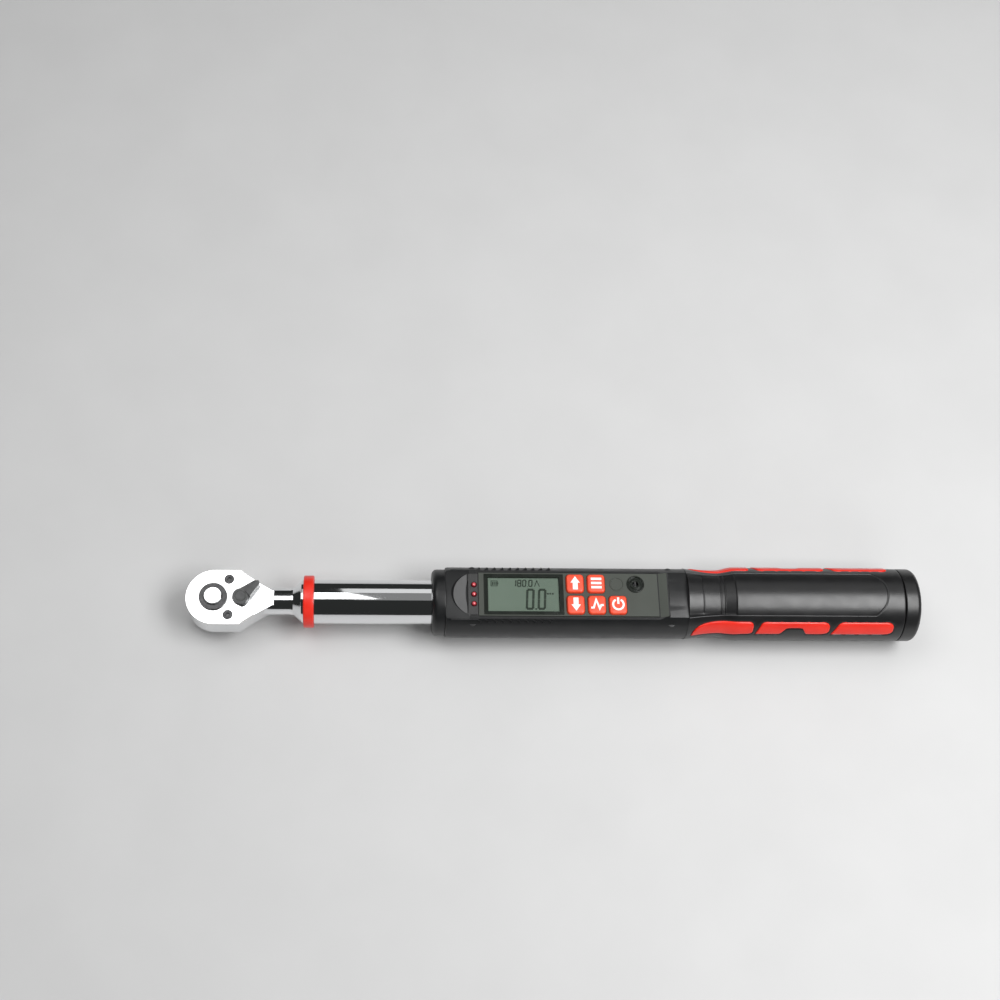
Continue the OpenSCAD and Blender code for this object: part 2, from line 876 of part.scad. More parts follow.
// One rubber key at a column and row, with a flange below and a stem that meets its switch
module key(x, y) {
    color("tomato") on_axis() translate([x, y, 0]) {
        translate([0, 0, key_flange_z]) linear_extrude(key_top_z - 0.6 - key_flange_z) {
            rounded_rect(key_len, key_w, key_corner);
        }
        translate([0, 0, key_top_z - 0.6]) linear_extrude(0.6) {
            rounded_rect(key_len - 1, key_w - 1, key_corner - 0.5);
        }
        translate([0, 0, key_flange_z]) linear_extrude(0.5) {
            rounded_rect(key_len + 1.2, key_w + 1.2, key_corner);
        }
        post([0, 0], 2.2, key_flange_z - 0.35, key_flange_z);
    }
}

module key_up() {
    key(key_xs[0], key_y);
}

module key_memory() {
    key(key_xs[1], key_y);
}

module key_down() {
    key(key_xs[0], -key_y);
}

module key_mode() {
    key(key_xs[1], -key_y);
}

module key_power() {
    key(key_xs[2], -key_y);
}

module key_mat() {
    color("#202020") on_axis() translate([0, 0, key_flange_z + 0.6]) {
        linear_extrude(deck_z - deck_t - key_flange_z - 0.6) difference() {
            translate([mat_x, -plate_half]) square([mat_len, 2 * plate_half]);
            key_holes(0.5);
            translate([key_xs[2], key_y]) circle(r = plug_r + 0.2);
            translate([buzzer_x, key_y]) circle(r = buzzer_r + 0.2);
        }
    }
}

module key_switches() {
    z = board_z + board_t;
    color("silver") on_axis() for (x = key_xs, s = [-1, 1]) {
        if (!(x == key_xs[2] && s == 1)) {
            post([x, s * key_y], 3, z, z + 0.6);
        }
    }
}

module blank_plug() {
    color("#4a504a") on_axis() difference() {
        post([key_xs[2], key_y], plug_r, deck_z - deck_t, plate_z + 0.3);
        post([key_xs[2], key_y], plug_r - 0.7, plate_z, far);
    }
}

module buzzer_cap() {
    color("#3c403c") on_axis() difference() {
        post([buzzer_x, key_y], buzzer_r, deck_z - deck_t, plate_z + 0.7);
        post([buzzer_x, key_y], 2, -far, far);
        // Ring groove around the sound hole
        translate([buzzer_x, key_y, plate_z]) difference() {
            cylinder(r = buzzer_r - 1, h = far);
            translate([0, 0, -1]) cylinder(r = buzzer_r - 2.4, h = far + 2);
        }
    }
}

module buzzer() {
    z = board_z + board_t;
    color("#1c1c1c") on_axis() difference() {
        post([buzzer_x, key_y], 5.6, z, z + 3);
        post([buzzer_x, key_y], 1, z + 2, far);
    }
}

module circuit_board() {
    color("darkgreen") on_axis() difference() {
        block([board_x0, -board_half, board_z], [board_x1, board_half, board_z + board_t]);
        for (p = board_posts) {
            post(p, 1.1, -far, far);
        }
    }
}

module board_parts() {
    color("#151515") on_axis() translate([0, 0, board_z]) {
        // Processor, memory, amplifier and sockets on the underside
        for (c = chips) {
            translate([c[0], c[1], -chip_t / 2]) cube([c[2], c[3], chip_t], center = true);
        }
    }
}

module board_screws() {
    color("silver") on_axis() for (p = board_posts) {
        translate([p.x, p.y, board_z - 1.2]) mirror([0, 0, 1]) screw(1.9, 1.2, 0.95, 4.2, 1.3);
    }
}

// ---------------------------------------------------------------- handle

// Radius of the grip at a place along it: a smooth waist behind the housing
function grip_at(x) =
    x < waist_x ? waist_r + (housing_r + 0.3 - waist_r) * pow((waist_x - x) / (waist_x - grip_x0), 2)
    : x < grip_full_x ? (grip_r + waist_r) / 2
        - (grip_r - waist_r) / 2 * cos(180 * (x - waist_x) / (grip_full_x - waist_x))
    : grip_r;

// The grip's outside, grown by a small amount
module grip_body(grow) {
    step = 2;
    stations = [for (x = [grip_x0:step:grip_full_x]) x];
    turned(concat(
        [[core_r, grip_x0]],
        [for (x = stations) [grip_at(x) + grow, x]],
        [[grip_r + grow, grip_full_x + 2], [grip_r + grow, cap_x - 1], [grip_r - 0.5 + grow, cap_x - 0.1],
         [core_r, cap_x - 0.1]]
    ));
}

// The sectors that the inlays fill on the +Y side
module inlay_windows() {
    for (span = inlay_spans) {
        rotate([0, 90, 0]) rotate([0, 0, 180 - inlay_a1]) rotate_extrude(angle = inlay_a1 - inlay_a0) {
            translate([core_r - 1, span[0]]) square([far / 20, span[1] - span[0]]);
        }
    }
}

module handle_tube() {
    color("silver") on_axis() difference() {
        bar(tube_r, plug_x0, handle_end_x);
        bar(tube_bore_r, plug_x1, 3 * far);
        block([0, -beam_w / 2, -beam_h / 2], [beam_x1, beam_w / 2, beam_h / 2]);
        pin(pin_xs[1], far);
        for (s = [-1, 1]) {
            translate([0, s * lead_at[0], lead_at[1]]) bar(lead_r + 0.2, 0, 3 * far);
        }
    }
}

module grip_core() {
    color("#303030") on_axis() difference() {
        sleeve(core_r, tube_r, grip_x0, handle_end_x + 3);
        sleeve(tube_r + 2, tube_r - 2, handle_end_x, handle_end_x + 4);
    }
}

module rubber_grip() {
    color("#202224") on_axis() difference() {
        grip_body(0);
        inlay_windows();
        mirror([0, 1, 0]) inlay_windows();
    }
}

module inlays() {
    color("tomato") on_axis() intersection() {
        grip_body(0.15);
        inlay_windows();
    }
}

module inlays_left() {
    inlays();
}

module inlays_right() {
    mirror([0, 1, 0]) inlays();
}

module battery_sleeve() {
    color("#383838") on_axis() sleeve(tube_bore_r, cell_d / 2 + 0.15, sleeve_x0, sleeve_x1);
}

module batteries() {
    r = cell_d / 2;
    color("#5878a0") on_axis() for (i = [0, 1]) {
        translate([cell_x + i * cell_len, 0, 0]) turned([
            [0, 0.05], [2.6, 0.05], [2.6, 1.3], [r, 1.3], [r, cell_len], [0, cell_len]
        ]);
    }
}

module front_contact() {
    color("silver") on_axis() {
        bar(7, sleeve_x0 + 0.2, sleeve_x0 + 0.8);
        bar(1.5, sleeve_x0 + 0.8, cell_x);
    }
}

module power_leads() {
    color("firebrick") on_axis() for (s = [-1, 1]) {
        translate([0, s * lead_at[0], lead_at[1]]) bar(lead_r, lead_x0, sleeve_x0 - 0.5);
    }
}

module cap_seal() {
    color("#181818") on_axis() rotate([0, 90, 0]) rotate_extrude() {
        translate([tube_bore_r - run_gap - seal_wire_r, seal_x]) circle(r = seal_wire_r, $fn = 32);
    }
}

module battery_cap() {
    groove = tube_bore_r - 2 * seal_wire_r - 2 * run_gap;
    color("#26282a") on_axis() difference() {
        turned([
            [0, cap_spigot_x], [cap_spigot_r, cap_spigot_x], [cap_spigot_r, seal_x - 1],
            [groove, seal_x - 1], [groove, seal_x + 1], [cap_spigot_r, seal_x + 1],
            [cap_spigot_r, cap_x + 0.4], [grip_r - 0.6, cap_x + 0.4], [grip_r, cap_x + 1],
            [grip_r, end_x - 3], [grip_r - 0.6, end_x - 1.4], [grip_r - 1.8, end_x - 0.4],
            [grip_r - 3.2, end_x], [0, end_x]
        ]);
        bar(8, cap_spigot_x - 1, cap_spigot_x + 4);
    }
}

module cap_spring() {
    color("silver") on_axis() translate([cell_x + 2 * cell_len + 0.1, 0, 0]) rotate([0, 90, 0]) {
        coil(4.5, 0.4, cap_spigot_x + 4 - cell_x - 2 * cell_len - 0.1, 4.5);
    }
}

ratchet_head();
head_cover();
cover_screws();
drive_gear();
release_button();
release_spring();
detent_ball();
pawl();
selector_shaft();
reverse_lever();
pawl_plunger();
pawl_spring();
lever_clip();
torque_beam();
strain_gauges();
gauge_wires();
beam_pins();
beam_bush();
colour_ring();
tube();
front_collar();
housing_upper();
housing_lower();
housing_screws();
faceplate();
display_bezel();
display_window();
display_module();
display_connector();
led_strip();
leds();
key_up();
key_memory();
key_down();
key_mode();
key_power();
key_mat();
key_switches();
blank_plug();
buzzer_cap();
buzzer();
circuit_board();
board_parts();
board_screws();
handle_tube();
grip_core();
rubber_grip();
inlays_left();
inlays_right();
battery_sleeve();
batteries();
front_contact();
power_leads();
cap_seal();
battery_cap();
cap_spring();
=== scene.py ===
"""Looks of the torque wrench: finishes, fine shapes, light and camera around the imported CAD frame.

Lengths are in millimetres about the wrench's own axis: x from the drive to the handle, y across
and z up out of the display side. add_piece() turns them into the frame's metres. The floor, the
lights and the camera are placed in metres in the frame itself.
"""

import math

import bpy
import numpy as np
from mathutils import Matrix, Vector


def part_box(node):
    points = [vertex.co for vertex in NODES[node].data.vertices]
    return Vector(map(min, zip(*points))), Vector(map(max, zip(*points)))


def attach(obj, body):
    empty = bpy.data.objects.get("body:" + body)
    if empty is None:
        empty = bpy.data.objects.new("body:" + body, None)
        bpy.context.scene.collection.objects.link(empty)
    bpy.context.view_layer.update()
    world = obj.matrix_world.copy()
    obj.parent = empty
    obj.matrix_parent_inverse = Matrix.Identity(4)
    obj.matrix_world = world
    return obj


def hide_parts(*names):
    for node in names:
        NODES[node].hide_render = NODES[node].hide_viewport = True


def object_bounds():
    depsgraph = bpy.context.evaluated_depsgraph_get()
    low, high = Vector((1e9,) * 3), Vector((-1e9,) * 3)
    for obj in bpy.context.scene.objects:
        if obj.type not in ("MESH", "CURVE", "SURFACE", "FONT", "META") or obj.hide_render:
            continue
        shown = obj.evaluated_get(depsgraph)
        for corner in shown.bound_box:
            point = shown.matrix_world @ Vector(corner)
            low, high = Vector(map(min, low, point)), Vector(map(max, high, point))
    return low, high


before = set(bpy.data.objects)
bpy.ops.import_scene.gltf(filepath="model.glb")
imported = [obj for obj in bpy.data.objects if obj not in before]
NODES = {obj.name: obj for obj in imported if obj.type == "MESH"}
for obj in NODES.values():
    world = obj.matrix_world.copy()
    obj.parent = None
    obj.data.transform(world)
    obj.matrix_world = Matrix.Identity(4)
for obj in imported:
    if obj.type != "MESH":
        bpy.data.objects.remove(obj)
cad_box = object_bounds()
MM = 0.001


# ------------------------------------------------------------------ places read from the frame

tube_low, tube_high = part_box("tube")
AXIS_Z = (tube_low.z + tube_high.z) / 2


class Box:
    """A node's box in millimetres about the wrench's axis."""

    def __init__(self, node):
        low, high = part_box(node)
        self.x0, self.y0, self.z0 = low.x / MM, low.y / MM, (low.z - AXIS_Z) / MM
        self.x1, self.y1, self.z1 = high.x / MM, high.y / MM, (high.z - AXIS_Z) / MM
        self.cx = (self.x0 + self.x1) / 2
        self.cy = (self.y0 + self.y1) / 2
        self.r = (self.y1 - self.y0) / 2


# ------------------------------------------------------------------ shader helper


class Shader:
    """A principled material whose textures are measured in millimetres on the piece."""

    def __init__(self, name, colour, roughness, metallic=0.0, **sockets):
        self.material = bpy.data.materials.new(name)
        self.material.use_nodes = True
        self.tree = self.material.node_tree
        self.bsdf = self.tree.nodes["Principled BSDF"]
        self.set("Base Color", (*colour, 1.0))
        self.set("Roughness", roughness)
        self.set("Metallic", metallic)
        for key, value in sockets.items():
            self.set(key.replace("_", " "), value)
        self.place = self.node("ShaderNodeTexCoord").outputs["Object"]
        self.normal = None

    def set(self, socket, value):
        self.bsdf.inputs[socket].default_value = value

    def node(self, kind, inputs=None, **props):
        made = self.tree.nodes.new(kind)
        for key, value in props.items():
            setattr(made, key, value)
        for key, value in (inputs or {}).items():
            if isinstance(value, bpy.types.NodeSocket):
                self.tree.links.new(value, made.inputs[key])
            else:
                made.inputs[key].default_value = value
        return made

    def link(self, output, socket):
        self.tree.links.new(output, self.bsdf.inputs[socket])

    def noise(self, size_mm, detail=3.0, stretch=(1, 1, 1), rough=0.5):
        """Noise whose features are about size_mm across, stretched along the axes."""
        scale = tuple(1.0 / (size_mm * MM * s) for s in stretch)
        mapped = self.node("ShaderNodeMapping", {"Vector": self.place, "Scale": scale})
        made = self.node("ShaderNodeTexNoise", {
            "Vector": mapped.outputs["Vector"], "Scale": 1.0, "Detail": detail, "Roughness": rough,
        })
        return made.outputs["Fac"]

    def ramp(self, value, low, high, out_low=0.0, out_high=1.0):
        made = self.node("ShaderNodeMapRange", {
            "Value": value, "From Min": low, "From Max": high,
            "To Min": out_low, "To Max": out_high,
        })
        return made.outputs["Result"]

    def depth_below_top(self, piece, near_mm, far_mm):
        """0 at near_mm below the top of a piece and 1 at far_mm below it."""
        place = self.node("ShaderNodeTexCoord").outputs["Generated"]
        level = self.node("ShaderNodeSeparateXYZ", {"Vector": place}).outputs["Z"]
        tall = piece.z1 - piece.z0
        return self.ramp(level, 1 - near_mm / tall, 1 - far_mm / tall)

    def mix(self, factor, first, second):
        made = self.node("ShaderNodeMix", data_type="RGBA")
        self.tree.links.new(factor, made.inputs["Factor"])
        made.inputs["A"].default_value = (*first, 1.0)
        made.inputs["B"].default_value = (*second, 1.0)
        return made.outputs["Result"]

    def vary_roughness(self, value, low, high):
        self.link(self.ramp(value, 0.3, 0.7, low, high), "Roughness")

    def vary_colour(self, value, first, second, low=0.3, high=0.7):
        self.link(self.mix(self.ramp(value, low, high), first, second), "Base Color")

    def bump(self, height, depth_mm, strength=1.0):
        inputs = {"Height": height, "Distance": depth_mm * MM, "Strength": strength}
        if self.normal is not None:
            inputs["Normal"] = self.normal
        self.normal = self.node("ShaderNodeBump", inputs).outputs["Normal"]
        self.link(self.normal, "Normal")


# ------------------------------------------------------------------ materials


def chrome():
    s = Shader("polished_chrome", (0.83, 0.84, 0.85), 0.07, 1.0)
    s.vary_roughness(s.noise(18, 4, (3, 1, 1)), 0.045, 0.10)
    s.bump(s.noise(6, 2), 0.004)
    return s.material


def cover_chrome():
    s = Shader("satin_chrome", (0.86, 0.86, 0.86), 0.16, 1.0)
    s.vary_roughness(s.noise(9, 4), 0.13, 0.21)
    s.bump(s.noise(0.8, 3, (8, 1, 1)), 0.002)
    return s.material


def dark_steel():
    s = Shader("dark_steel", (0.088, 0.088, 0.09), 0.36, 1.0)
    s.vary_colour(s.noise(3.5, 4), (0.074, 0.074, 0.076), (0.108, 0.108, 0.11))
    s.vary_roughness(s.noise(1.2, 3), 0.34, 0.48)
    s.bump(s.noise(0.35, 3), 0.02)
    return s.material


def lever_steel():
    s = Shader("lever_steel", (0.055, 0.057, 0.058), 0.36)
    s.vary_colour(s.noise(2.5, 3), (0.045, 0.047, 0.048), (0.066, 0.068, 0.069))
    s.vary_roughness(s.noise(1.2, 3), 0.32, 0.44)
    s.bump(s.noise(0.35, 3), 0.015)
    return s.material


def bright_steel():
    s = Shader("bright_steel", (0.55, 0.55, 0.56), 0.28, 1.0)
    s.vary_roughness(s.noise(2, 3, (6, 1, 1)), 0.2, 0.38)
    s.bump(s.noise(0.4, 2, (10, 1, 1)), 0.006)
    return s.material


def red_plastic():
    s = Shader("red_plastic", (0.78, 0.022, 0.010), 0.36)
    s.vary_colour(s.noise(14, 3), (0.74, 0.018, 0.008), (0.82, 0.027, 0.013))
    s.vary_roughness(s.noise(4, 4), 0.29, 0.40)
    s.bump(s.noise(0.5, 3), 0.008)
    s.set("Subsurface Weight", 0.05)
    return s.material


def black_plastic():
    s = Shader("satin_black_plastic", (0.008, 0.0085, 0.009), 0.36, IOR=1.48)
    s.vary_colour(s.noise(20, 4), (0.0065, 0.007, 0.0075), (0.010, 0.0105, 0.011))
    s.vary_roughness(s.noise(7, 4), 0.33, 0.42)
    s.bump(s.noise(0.28, 2), 0.012)
    return s.material


def grip_rubber():
    s = Shader("grip_rubber", (0.008, 0.008, 0.0085), 0.36, IOR=1.55)
    s.vary_colour(s.noise(24, 4), (0.0065, 0.0065, 0.007), (0.010, 0.010, 0.0105))
    s.vary_roughness(s.noise(9, 5), 0.31, 0.39)
    s.bump(s.noise(0.45, 3), 0.016)
    return s.material


def line_rubber_painted_highlight():
    # Lighter than the grip rubber: a painted highlight on the fine raised lines.
    s = Shader("line_rubber_painted_highlight", (0.05, 0.05, 0.052), 0.3)
    s.vary_roughness(s.noise(3, 3), 0.26, 0.36)
    s.bump(s.noise(0.4, 2), 0.01)
    return s.material


def panel_film():
    s = Shader("panel_film", (0.040, 0.046, 0.037), 0.46)
    s.vary_colour(s.noise(16, 3), (0.037, 0.043, 0.034), (0.043, 0.050, 0.040))
    s.bump(s.noise(0.22, 2), 0.012)
    return s.material


def facet_film():
    s = Shader("facet_film", (0.088, 0.088, 0.088), 0.36)
    s.vary_colour(s.noise(12, 3), (0.082, 0.082, 0.083), (0.094, 0.094, 0.095))
    s.vary_roughness(s.noise(5, 3), 0.32, 0.42)
    s.bump(s.noise(0.25, 2), 0.01)
    return s.material


def strip_plastic():
    s = Shader("strip_plastic", (0.034, 0.034, 0.034), 0.36)
    s.vary_roughness(s.noise(5, 3), 0.32, 0.42)
    s.bump(s.noise(0.25, 2), 0.01)
    return s.material


def bezel_plastic():
    s = Shader("bezel_plastic", (0.006, 0.009, 0.006), 0.22)
    s.vary_roughness(s.noise(6, 3), 0.18, 0.28)
    s.bump(s.noise(0.3, 2), 0.004)
    return s.material


def key_rubber():
    s = Shader("key_silicone", (0.86, 0.075, 0.03), 0.42)
    s.vary_colour(s.noise(5, 3), (0.82, 0.066, 0.026), (0.90, 0.085, 0.034))
    s.vary_roughness(s.noise(2.5, 3), 0.38, 0.48)
    s.bump(s.noise(0.3, 2), 0.012)
    s.set("Subsurface Weight", 0.08)
    return s.material


def legend_paint():
    s = Shader("legend_paint", (0.88, 0.87, 0.85), 0.45)
    s.vary_colour(s.noise(1.5, 3), (0.84, 0.83, 0.81), (0.90, 0.89, 0.88))
    s.bump(s.noise(0.2, 2), 0.006)
    return s.material


def display_face():
    s = Shader("display_face", (0.125, 0.168, 0.132), 0.18)
    s.vary_colour(s.noise(30, 2), (0.118, 0.160, 0.125), (0.132, 0.176, 0.139))
    s.bump(s.noise(0.15, 1), 0.002)
    return s.material


def display_ink():
    s = Shader("display_ink", (0.004, 0.014, 0.007), 0.25)
    s.vary_colour(s.noise(0.6, 2), (0.003, 0.011, 0.005), (0.006, 0.018, 0.009))
    return s.material


def window_glass():
    s = Shader("window_glass", (0.18, 0.22, 0.18), 0.04)
    s.set("Alpha", 0.05)
    s.bump(s.noise(8, 1), 0.001)
    return s.material


def led_lens():
    s = Shader("led_lens", (0.46, 0.010, 0.020), 0.10)
    # Painted highlight and shade: each dome is pinkish at its top, where the lamps would reflect,
    # and turns dark red down its sides.
    highlight_to_shade = s.depth_below_top(Box("leds"), 0.0, 0.75)
    s.link(s.mix(highlight_to_shade, (0.80, 0.10, 0.12), (0.09, 0.002, 0.006)), "Base Color")
    s.bump(s.noise(0.8, 2), 0.01)
    s.set("Subsurface Weight", 0.2)
    s.set("Coat Weight", 0.6)
    return s.material


def inner_plastic():
    s = Shader("inner_plastic", (0.05, 0.05, 0.055), 0.5)
    s.bump(s.noise(0.4, 2), 0.02)
    return s.material


def board_mask():
    s = Shader("board_mask", (0.01, 0.09, 0.03), 0.3)
    s.vary_colour(s.noise(2, 2), (0.008, 0.07, 0.024), (0.014, 0.12, 0.04))
    s.bump(s.noise(0.5, 2), 0.01)
    return s.material


def wire_skin():
    s = Shader("wire_skin", (0.4, 0.02, 0.015), 0.4)
    s.bump(s.noise(0.6, 2), 0.02)
    return s.material


def gauge_foil():
    s = Shader("gauge_foil", (0.5, 0.3, 0.1), 0.4, 0.6)
    s.vary_colour(s.noise(0.5, 1, (8, 1, 1)), (0.4, 0.22, 0.07), (0.62, 0.42, 0.18))
    return s.material


def cell_print():
    s = Shader("cell_print", (0.06, 0.1, 0.2), 0.3, 0.3)
    s.vary_colour(s.noise(6, 2), (0.05, 0.09, 0.18), (0.08, 0.13, 0.25))
    s.bump(s.noise(0.8, 2), 0.01)
    return s.material


MATERIALS = {
    "chrome": chrome(),
    "cover": cover_chrome(),
    "dark_steel": dark_steel(),
    "lever": lever_steel(),
    "bright_steel": bright_steel(),
    "red": red_plastic(),
    "black": black_plastic(),
    "rubber": grip_rubber(),
    "line": line_rubber_painted_highlight(),
    "panel": panel_film(),
    "facet": facet_film(),
    "strip": strip_plastic(),
    "bezel": bezel_plastic(),
    "key": key_rubber(),
    "legend": legend_paint(),
    "display": display_face(),
    "ink": display_ink(),
    "glass": window_glass(),
    "led": led_lens(),
    "inner": inner_plastic(),
    "board": board_mask(),
    "wire": wire_skin(),
    "foil": gauge_foil(),
    "cell": cell_print(),
}

NODE_LOOKS = {
    "chrome": ["ratchet_head"],
    "cover": ["head_cover"],
    "dark_steel": ["drive_gear", "cover_screws", "pawl"],
    "lever": ["reverse_lever", "selector_shaft"],
    "bright_steel": [
        "release_spring", "detent_ball", "pawl_plunger", "pawl_spring", "lever_clip", "torque_beam",
        "beam_pins", "housing_screws", "board_screws", "handle_tube", "front_contact",
        "cap_spring", "key_switches",
    ],
    "black": ["housing_upper", "housing_lower"],
    "rubber": ["key_mat", "cap_seal"],
    "panel": ["faceplate", "blank_plug"],
    "strip": ["led_strip"],
    "bezel": ["display_bezel", "buzzer_cap"],
    "display": ["display_module"],
    "glass": ["display_window"],
    "led": ["leds"],
    "inner": [
        "beam_bush", "grip_core", "battery_sleeve", "buzzer", "display_connector", "board_parts",
    ],
    "board": ["circuit_board"],
    "wire": ["gauge_wires", "power_leads"],
    "foil": ["strain_gauges"],
    "cell": ["batteries"],
}

# ------------------------------------------------------------------ carried-over CAD nodes

EDGE_MM = {
    "ratchet_head": 1.0, "head_cover": 0.5, "reverse_lever": 0.45, "drive_gear": 0.25,
    "housing_upper": 0.3, "housing_lower": 0.3, "faceplate": 0.12, "display_window": 0.1,
    "display_module": 0.1, "led_strip": 0.35, "blank_plug": 0.2, "buzzer_cap": 0.3,
    "cover_screws": 0.2, "display_bezel": 0.25,
}
ROUND_NODES = ["detent_ball", "release_spring", "pawl_spring", "cap_spring", "cap_seal"]
CURVED_NODES = ["housing_upper", "housing_lower"]


def finish_node(node, material, edge_mm):
    """A CAD node keeps its mesh: modifiers weld it, round its edges and smooth it."""
    obj = NODES[node]
    obj.data.materials.clear()
    obj.data.materials.append(material)
    for polygon in obj.data.polygons:
        polygon.use_smooth = True
    weld = obj.modifiers.new("weld", "WELD")
    weld.merge_threshold = 0.002 * MM
    if node in ROUND_NODES:
        return
    if node not in CURVED_NODES:
        flat = obj.modifiers.new("flat", "DECIMATE")
        flat.decimate_type = "DISSOLVE"
        flat.angle_limit = math.radians(0.6)
    bevel = obj.modifiers.new("edges", "BEVEL")
    bevel.width = edge_mm * MM
    bevel.segments = 3
    bevel.limit_method = "ANGLE"
    bevel.angle_limit = math.radians(28)
    normals = obj.modifiers.new("normals", "WEIGHTED_NORMAL")
    normals.keep_sharp = True


for look, names in NODE_LOOKS.items():
    for name in names:
        finish_node(name, MATERIALS[look], EDGE_MM.get(name, 0.2))


# ------------------------------------------------------------------ mesh helpers


def add_piece(name, verts, faces, look, body, replaced=(), sharp=38):
    """A new piece from vertices in millimetres about the wrench's axis, riding on a body."""
    mesh = bpy.data.meshes.new(name)
    mesh.from_pydata([(x * MM, y * MM, AXIS_Z + z * MM) for x, y, z in verts], [], faces)
    mesh.validate()
    mesh.update()
    for polygon in mesh.polygons:
        polygon.use_smooth = True
    mesh.set_sharp_from_angle(angle=math.radians(sharp))
    mesh.materials.append(MATERIALS[look])
    obj = bpy.data.objects.new(name, mesh)
    bpy.context.scene.collection.objects.link(obj)
    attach(obj, body)
    if replaced:
        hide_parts(*replaced)
    return obj


def loft(rings, closed=False):
    """Faces between rings of equal length; the ends are capped unless the loft is closed."""
    count, size = len(rings), len(rings[0])
    verts = [p for ring in rings for p in ring]
    faces = []
    for i in range(count if closed else count - 1):
        a, b = i * size, ((i + 1) % count) * size
        for j in range(size):
            k = (j + 1) % size
            faces.append((a + j, b + j, b + k, a + k))
    if not closed:
        faces.append(tuple(range(size)))
        faces.append(tuple((count - 1) * size + j for j in reversed(range(size))))
    return verts, faces


def rounded(points, closed=True, steps=6):
    """Rounds the corners of an outline of (u, v, radius) points with arcs."""
    out = []
    count = len(points)
    for i, (u, v, radius) in enumerate(points):
        here = Vector((u, v))
        if radius <= 0 or (not closed and i in (0, count - 1)):
            out.append((u, v))
            continue
        before = Vector(points[i - 1][:2]) - here
        after = Vector(points[(i + 1) % count][:2]) - here
        cut = min(radius, 0.49 * before.length, 0.49 * after.length)
        start, end = here + before.normalized() * cut, here + after.normalized() * cut
        for s in range(steps + 1):
            t = s / steps
            p = (1 - t) ** 2 * start + 2 * t * (1 - t) * here + t * t * end
            out.append((p.x, p.y))
    return out


def lathe(profile, around=192, upright=None):
    """Turns (x, radius) points about the wrench's axis, or (z, radius) about an upright axis."""
    rings = []
    for u, radius in profile:
        ring = []
        for j in range(around):
            a = 2 * math.pi * j / around
            c, s = max(radius, 0.001) * math.cos(a), max(radius, 0.001) * math.sin(a)
            ring.append((u, c, s) if upright is None else (upright[0] - s, upright[1] + c, u))
        rings.append(ring)
    return rings


def sweep(path, normals, half_width, height, sink=0.4):
    """A bead along a path of points, raised along the normals, with a rounded top."""
    rings = []
    for i, point in enumerate(path):
        here = Vector(point)
        along = Vector(path[min(i + 1, len(path) - 1)]) - Vector(path[max(i - 1, 0)])
        up = Vector(normals[i]).normalized()
        side = along.cross(up).normalized()
        ring = [here - side * half_width - up * sink]
        for s in range(9):
            a = math.pi * (1 - s / 8)
            ring.append(here + side * half_width * math.cos(a) + up * height * math.sin(a))
        ring.append(here + side * half_width - up * sink)
        rings.append([tuple(p) for p in ring])
    return rings


def slab(name, outlines, z0, z1, look, body):
    """Flat symbols: each outline of (x, y) points becomes a thin plate between two heights."""
    verts, faces = [], []
    for outline in outlines:
        base = len(verts)
        count = len(outline)
        verts += [(x, y, z0) for x, y in outline] + [(x, y, z1) for x, y in outline]
        faces.append(tuple(base + count + j for j in range(count)))
        faces.append(tuple(base + j for j in reversed(range(count))))
        for j in range(count):
            k = (j + 1) % count
            faces.append((base + j, base + k, base + count + k, base + count + j))
    return add_piece(name, verts, faces, look, body, sharp=30)


def interpolate(knots, at):
    """Straight lines between (at, value) knots."""
    return np.interp(at, [k[0] for k in knots], [k[1] for k in knots])


def smooth_step(low, high, value):
    t = np.clip((value - low) / (high - low), 0, 1)
    return t * t * (3 - 2 * t)


def spaced(low, high, step, dense=()):
    """Stations at an even step, with extra ones at (from, to, step) stretches."""
    stations = set(np.round(np.arange(low, high, step), 4)) | {round(high, 4)}
    for start, end, fine in dense:
        stations |= set(np.round(np.arange(start, end, fine), 4))
    ordered = sorted(s for s in stations if low <= s <= high)
    return [s for i, s in enumerate(ordered) if i == 0 or s - ordered[i - 1] > 0.02]


# ------------------------------------------------------------------ turned metal and plastic pieces


def add_turned():
    """The tube, ring, collar and battery cap, from (x, radius, corner radius) profiles."""
    tube, ring, collar = Box("tube"), Box("colour_ring"), Box("front_collar")
    cap = Box("battery_cap")
    bore = tube.r - 2.5
    pieces = {
        "tube_skin": ("tube", "chrome", "chrome_shell", [
            (tube.x0, bore, 0), (tube.x0, tube.r, 0.35),
            (tube.x1, tube.r, 0.2), (tube.x1, bore, 0)]),
        "ring_skin": ("colour_ring", "red", "red_plastic", [
            (ring.x0, bore, 0), (ring.x0, ring.r, 1.1),
            (ring.x1, ring.r, 1.1), (ring.x1, bore, 0)]),
        "collar_skin": ("front_collar", "black", "housing_plastic", [
            (collar.x0, tube.r, 0.5), (collar.x0, collar.r - 1.9, 1.3),
            (collar.x0 + 2.1, collar.r, 1.6), (collar.x1, collar.r, 0.5), (collar.x1, tube.r, 0)]),
    }
    for name, (node, look, slot, corners) in pieces.items():
        verts, faces = loft(lathe(rounded(corners)), closed=True)
        add_piece(name, verts, faces, look, "wrench", [node])
    spigot, groove = tube.r - 2.7, tube.r - 4.1
    seal = Box("cap_seal").cx
    lip = cap.x1 - 11.4
    corners = [
        (cap.x0, 0, 0), (cap.x0, spigot, 0.3), (seal - 1, spigot, 0), (seal - 1, groove, 0),
        (seal + 1, groove, 0), (seal + 1, spigot, 0), (lip, spigot, 0), (lip, cap.r, 0.9),
        (cap.x1 - 2.6, cap.r, 1.5), (cap.x1 - 0.7, cap.r - 1.5, 1.2), (cap.x1, cap.r - 4, 1.6),
        (cap.x1, cap.r - 9, 0.4), (cap.x1 - 0.6, cap.r - 9.8, 0.4), (cap.x1 - 0.6, 0, 0),
    ]
    verts, faces = loft(lathe(rounded(corners, closed=False)))
    add_piece("cap_skin", verts, faces, "rubber", "cap", ["battery_cap"])


